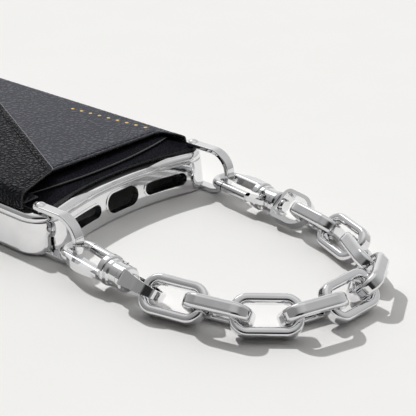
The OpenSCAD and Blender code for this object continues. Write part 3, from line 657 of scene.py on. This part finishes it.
def stitches(name, seams, surface, thick, depth):
    """Short runs of thread along the seams, dipping into the sheet at both ends."""
    verts, faces = [], []
    sides = THREAD_SIDES
    angles = [2 * math.pi * j / sides for j in range(sides)]
    for seam in seams:
        holes = along(seam, STITCH + STITCH_GAP)
        for a, b in zip(holes[:-1], holes[1:]):
            d = (b - a) / np.linalg.norm(b - a)
            a, b = a + d * STITCH_GAP / 2, b - d * STITCH_GAP / 2
            middle, normal = surface(a[None] + (b - a)[None] * STITCH_AT[:, None])
            centre = middle + normal * (0.5 * thick - depth + STITCH_LIFT)[:, None]
            ahead = unit(np.gradient(centre, axis=0))
            side = unit(np.cross(ahead, normal))
            upward = np.cross(side, ahead)
            base = len(verts)
            for k, r in enumerate(STITCH_R):
                verts += [centre[k] + r * (math.cos(w) * side[k] + math.sin(w) * upward[k])
                          for w in angles]
            last = base + (len(STITCH_R) - 1) * sides
            for q in range(base, last, sides):
                for j in range(sides):
                    after = (j + 1) % sides
                    faces.append((q + j, q + after, q + sides + after, q + sides + j))
            faces.append(tuple(range(base, base + sides))[::-1])
            faces.append(tuple(range(last, last + sides)))
    return make_object(name, verts, faces, [THREAD])


def foil_dots():
    """Row of plain raised dots beside the pocket's sewn side."""
    verts, faces = [], []
    sides = DOT_SIDES
    a = np.linspace(0, 2 * math.pi, sides, endpoint=False)
    circle = np.c_[np.cos(a), np.sin(a)]
    for dot in range(DOTS):
        centre = DOT_START + dot * DOT_STEP
        base = len(verts)
        for r, h in DOT_RINGS:
            middle, normal = front_surface(centre + r * circle if r else centre[None])
            verts += list(middle + normal * (FRONT_T / 2 + h))
        for j in range(sides):
            after = (j + 1) % sides
            faces.append((base, base + 1 + j, base + 1 + after))
            for ring in range(len(DOT_RINGS) - 2):
                q = base + 1 + ring * sides
                faces.append((q + j, q + sides + j, q + sides + after, q + after))
    return make_object("foil_dots", verts, faces, [FOIL])


# ----- middle surfaces of the sheets -----


def level(p, z):
    """Points over p at height z, with normals straight up."""
    return np.c_[p, z], np.tile([0.0, 0.0, 1.0], (len(p), 1))


def flat_surface(z):
    return lambda p: level(p, np.full(len(p), z))


def crown(x, y):
    """The pocket's gentle rise over its middle."""
    across = np.clip((x - MOUTH_X) / (SEWN_X - MOUTH_X), -0.3, 1)
    length = np.clip((y - FRONT_Y) / (FRONT_END - FRONT_Y), 0, 1)
    return FRONT_RISE * np.sin(np.pi * length) * np.cos(np.pi * (across - 0.5) * RISE_SPAN).clip(0)


def slope(x):
    """Height of the pocket front's middle before its rise."""
    return SEWN_Z + (SEWN_X - x) * FRONT_SLOPE


def foot_thinning(u):
    """How much thinner the sewn foot gets where it passes the back leather's edge."""
    t = np.clip((u - SEWN_X - SHOULDER_R * math.pi / 2) / FOOT_STEP, 0, 1)
    return FOOT_THINNER * t * t * (3 - 2 * t)


def front_thickness(p):
    return FRONT_T - foot_thinning(p[:, 0])


def front_surface(p):
    """Middle of the pocket's front: u is x on the sheet, then runs round the sewn shoulder."""
    u, y = p[:, 0], p[:, 1]
    turn = np.clip((u - SEWN_X) / SHOULDER_R, 0, math.pi / 2)
    down = np.clip(u - SEWN_X - SHOULDER_R * math.pi / 2, 0, None)
    flat = np.minimum(u, SEWN_X)
    x = flat + SHOULDER_R * np.sin(turn) + foot_thinning(u) / 2
    z = slope(flat) - SHOULDER_R * (1 - np.cos(turn)) - down + crown(flat, y)
    normal = np.c_[np.sin(turn) + FRONT_SLOPE * (turn == 0), np.zeros(len(u)), np.cos(turn)]
    return np.c_[x, y, z], unit(normal)


def flap_surface(p):
    """Middle of the flap: u is x on the sheet, then runs round the bend and down the foot."""
    u, y = p[:, 0], p[:, 1]
    turn = np.clip((FLAP_BEND_X - u) / FLAP_BEND, 0, math.pi / 2)
    down = np.clip(FLAP_BEND_X - u - FLAP_BEND * math.pi / 2, 0, None)
    flat = np.maximum(u, FLAP_BEND_X)
    x = flat - FLAP_BEND * np.sin(turn)
    z = slope(flat) + FLAP_GAP - FLAP_BEND * (1 - np.cos(turn)) - down + crown(flat, y)
    normal = np.c_[-np.sin(turn) + FRONT_SLOPE * (turn == 0), np.zeros(len(u)), np.cos(turn)]
    return np.c_[x, y, z], unit(normal)


def spacer_height(p):
    return slope(p[:, 0]) - FRONT_T / 2 - INNER_TOP


def spacer_surface(p):
    return level(p, INNER_TOP + spacer_height(p) / 2)


# ----- outlines of the sheets -----


def case_outline(d, rc):
    """The case's outline drawn in by d, with corners of radius rc at the port end."""
    side = CASE_W / 2 - d
    rt = TOP_R - d
    cx = side - rc
    cy = CURVE_Y + math.sqrt((CURVE_R + d + rc) ** 2 - cx ** 2)
    lean = math.degrees(math.atan2(CURVE_Y - cy, -cx))
    half = math.degrees(math.asin(cx / (CURVE_R + d + rc)))
    right = np.concatenate([
        arc(cx, cy, rc, lean, 0), arc(side - rt, TOP_CORNER_Y, rt, 0, 90)])
    left = right[::-1] * [-1, 1]
    port = arc(0, CURVE_Y, CURVE_R + d, 90 + half, 90 - half, step=1.0)[1:-1]
    return np.concatenate([port, right, left])


def camera_loop(d):
    x, y, w, r = CAMERA_HOLE
    return round_rect(x, y, w + 2 * d, w + 2 * d, r + d)[::-1]


def rivet_loop(side):
    x, y, r = RIVETS
    return arc(side * x, y, r, 0, 360, step=0.3)[:-1][::-1]


def inner_loop():
    """Outline of the sheet inside the pocket, whose port end is hollow."""
    x = np.linspace(INNER_LEFT, INNER_X, PORT_POINTS)
    port = np.c_[x, INNER_Y + INNER_R - np.sqrt(INNER_R ** 2 - x ** 2)]
    return np.concatenate([port, [(INNER_X, INNER_END), (INNER_LEFT, INNER_END)]])


def spacer_loop():
    """A strip along the pocket's two ends and its sewn side."""
    (y0, y1), w = SPACER_Y, SPACER_W
    return np.array([(MOUTH_X, y0), (SPACER_X, y0), (SPACER_X, y1), (MOUTH_X, y1),
                     (MOUTH_X, y1 - w), (SPACER_X - w, y1 - w), (SPACER_X - w, y0 + w),
                     (MOUTH_X, y0 + w)])


# the front's sewn flank reaches further towards the port end than its mouth
FRONT_LOOP = rounded([(MOUTH_X, FRONT_Y), (31.6, FRONT_Y), (34.0, 9.4), (FRONT_FOOT_U, 9.2),
                      (FRONT_FOOT_U, FRONT_END), (MOUTH_X, FRONT_END)],
                     [1.2, 3.5, 0.8, 0.3, 0.5, 1.2])
FLAP_LOOP = rounded([(FLAP_FOOT_U, FLAP_FOOT_Y[0]), (FLAP_BEND_X, FLAP_BEND_Y[0]), FLAP_CORNER,
                     FLAP_TIP, (FLAP_BEND_X, FLAP_BEND_Y[1]), (FLAP_FOOT_U, FLAP_FOOT_Y[1])],
                    [0.6, 6, 1.5, 7, 6, 0.6])


def straight(x0, x1, y):
    return evenly(np.array([(x0, y), (x1, y)]), closed=False)


front_seams = [straight(MOUTH_X + 3, 30.0, FRONT_Y + MOUTH_SEAM_IN),
               straight(MOUTH_X + 2, 33.0, FRONT_END - FAR_SEAM_IN)]
root_seams = [evenly(np.array(ROOT_SEAM), closed=False)]
flap_rim = inset(evenly(FLAP_LOOP), FLAP_SEAM_IN)
flap_seams = [part_of(flap_rim, flap_rim[:, 0] > FLAP_SEAM_X)]

# ----- the leather pieces -----

# back panel, seen round the pocket and the camera opening
attach(leather_sheet("back_leather",
                     [case_outline(LEATHER_IN + SEAT, LEATHER_CORNER_R - SEAT),
                      camera_loop(CAMERA_RIM + SEAT), rivet_loop(1), rivet_loop(-1)],
                     flat_surface(LEATHER_Z + LEATHER_T / 2), LEATHER_T, SMOOTH, grid=2.2),
       "case", "black_leather", "leather_back")

# sheet inside the pocket, with a faint painted highlight along its port end's edge
attach(leather_sheet("inner_leather", [inner_loop()], flat_surface(INNER_TOP - INNER_T / 2),
                     INNER_T, SMOOTH, grid=2.2, edge_r=0.3,
                     edge_highlight=(lambda p: p[:, 1] < HIGHLIGHT_TO_Y, FAINT_HIGHLIGHTED_EDGE)),
       "case", "black_leather", "pocket_inner")

# pocket front with its sewn flank
attach(leather_sheet("front_leather", [FRONT_LOOP], front_surface, front_thickness, LEATHER,
                     seams=front_seams),
       "case", "black_leather", "pocket_front")
attach(stitches("front_stitches", front_seams, front_surface, FRONT_T, THREAD_DEPTH),
       "case", "black_leather")

# spacer at the pocket's two ends and its sewn side
attach(leather_sheet("spacer_leather", [spacer_loop()], spacer_surface, spacer_height, EDGE,
                     back=EDGE, grid=50, insets=(0.1, 0.25), edge_r=0.15),
       "case", "black_leather", "pocket_gusset")

# flap's sewn root beside the inner sheet
root_surface = flat_surface(INNER_Z + SEAT + ROOT_T / 2)
root_loop = round_rect(INNER_LEFT - SEAT - ROOT_W / 2, ROOT_Y, ROOT_W, ROOT_L, ROOT_R)
attach(leather_sheet("flap_root", [root_loop], root_surface, ROOT_T, LEATHER,
                     seams=root_seams, groove=ROOT_GROOVE),
       "case", "black_leather", "flap_anchor")
attach(stitches("root_stitches", root_seams, root_surface, ROOT_T, ROOT_THREAD_DEPTH),
       "case", "black_leather")

# the flap, with a painted highlight along its slanted edge
attach(leather_sheet("flap_leather", [FLAP_LOOP], flap_surface, FLAP_T, FLAP_LEATHER,
                     seams=flap_seams,
                     edge_highlight=(lambda p: p[:, 0] > HIGHLIGHT_FROM_X, HIGHLIGHTED_EDGE)),
       "flap", "black_leather", "pocket_flap")
attach(stitches("flap_stitches", flap_seams, flap_surface, FLAP_T, THREAD_DEPTH),
       "flap", "black_leather")

# lining under the back plate
bay_loop = round_rect(0, BAY_Y + BAY_L / 2, BAY_W - 2 * SEAT, BAY_L - 2 * SEAT, BAY_R - SEAT)
attach(leather_sheet("lining_fabric", [bay_loop, camera_loop(0)], flat_surface(LINING_Z),
                     LINING_T, LINING, back=LINING, grid=3, insets=(0.1, 0.3), edge_r=0.2),
       "case", "lining_fabric", "inner_lining")

attach(foil_dots(), "case", "black_leather")

# ----- floor, world and light -----

FLOOR_REACH = 3000
FLOOR_COLOURS = ((0.862, 0.854, 0.838), (0.87, 0.862, 0.846))
BACKDROP = (0.87, 0.86, 0.85)

# cards in the world: how a card joins the ones before it, its direction, the dot products where
# it starts and is full, and its two levels; LIGHT falls on the part, ROOM is what metal shows
LIGHT = (("ADD", (0.85, 0.4, 0.35), 0.0, 0.85, 0.0, 1.25),)
ROOM = (("ADD", (0.75, 0.3, 0.55), -0.1, 0.8, 0.28, 0.62),
        ("MULTIPLY", (-0.70, -0.59, 0.2), 0.81, 0.93, 1.0, 0.1),
        ("ADD", (0.72, 0.66, 0.0), 0.7, 0.97, 0.0, 0.3),
        ("ADD", (-0.1, -0.1, 1.0), 0.72, 0.92, 0.0, 0.25),
        ("ADD", (0.2, 0.68, 0.7), 0.97, 0.985, 0.0, 1.5))

SUN_FROM = (0.29, 0.98, 1.0)
SUN_STRENGTH = 2.4
SUN_DEGREES = 1.6


def make_floor():
    f = Finish("studio_floor", Specular_IOR_Level=0.1)
    grain = f.noise(35, detail=4)
    f.colour(f.span(grain, 0.3, 0.7, 0, 1), *FLOOR_COLOURS)
    f.rough(0.9)
    corners = [(x * FLOOR_REACH, y * FLOOR_REACH, 0)
               for x, y in ((-1, -1), (1, -1), (1, 1), (-1, 1))]
    floor = make_object("studio_floor", corners, [(0, 1, 2, 3)], [f.material])


def make_world():
    """A bright wall behind the part lights it, metal also shows the rest of the room."""
    world = bpy.data.worlds.new("studio")
    scene.world = world
    world.use_nodes = True
    n = Nodes(world.node_tree)
    n.tree.nodes.clear()
    where = n.add("ShaderNodeTexCoord").outputs["Generated"]

    def total(cards):
        value = None
        for operation, direction, low, high, dim, bright in cards:
            dot = n.add("ShaderNodeVectorMath", operation="DOT_PRODUCT")
            n.put(where, dot.inputs[0])
            n.put(Vector(direction).normalized(), dot.inputs[1])
            card = n.span(dot.outputs["Value"], low, high, dim, bright)
            value = card if value is None else n.math(operation, value, card)
        return value

    def choose(ray, usual, seen):
        """The usual colour, but seen for one kind of ray."""
        return n.blend(n.add("ShaderNodeLightPath").outputs[ray], usual, seen)

    colour = choose("Is Glossy Ray", total(LIGHT), total(ROOM))
    colour = choose("Is Camera Ray", colour, BACKDROP)
    background = n.add("ShaderNodeBackground")
    n.put(colour, background.inputs["Color"])
    n.put(1.0, background.inputs["Strength"])
    n.put(background.outputs[0], n.add("ShaderNodeOutputWorld").inputs[0])


def make_sun():
    """The sun that gives the shadows; its mirror image stays out of the metal."""
    data = bpy.data.lights.new("key", "SUN")
    data.energy = SUN_STRENGTH
    data.angle = math.radians(SUN_DEGREES)
    sun = bpy.data.objects.new("key", data)
    scene.collection.objects.link(sun)
    sun.visible_glossy = False
    sun.rotation_mode = "QUATERNION"
    sun.rotation_quaternion = Vector(SUN_FROM).to_track_quat("Z", "Y")


make_floor()
make_world()
make_sun()
